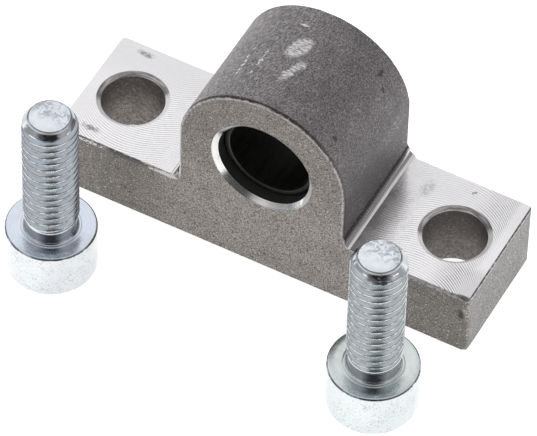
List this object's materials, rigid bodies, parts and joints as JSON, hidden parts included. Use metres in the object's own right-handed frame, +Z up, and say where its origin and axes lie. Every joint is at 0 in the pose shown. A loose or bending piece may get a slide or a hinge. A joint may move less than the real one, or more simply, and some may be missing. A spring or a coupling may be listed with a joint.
{
  "type": "swivel flange",
  "caption": "Cast swivel flange: a bar foot with a screw hole in each milled ear and a round-topped pivot eye lined with a plain bush, its loose cap screws standing beside it.",
  "frame": {"origin": "on the foot's underside, which is screwed down, midway between the screw holes and under the pivot", "axes": "+X along the foot, +Y along the pivot axis towards the back, +Z up from the foot to the eye"},
  "size_m": [0.0639, 0.0392, 0.0327],
  "materials": {
    "cast_steel": "blasted cast skin, milled light grey on the ears and bright in the chamfers",
    "bush_lining": "dark sliding layer on a steel back",
    "zinc_steel": "bright bluish zinc plating"
  },
  "bodies": {
    "root": {"flange_body": "cast_steel", "plain_bush": "bush_lining", "mounting_screw_left": "zinc_steel", "mounting_screw_right": "zinc_steel"}
  },
  "joints": []
}
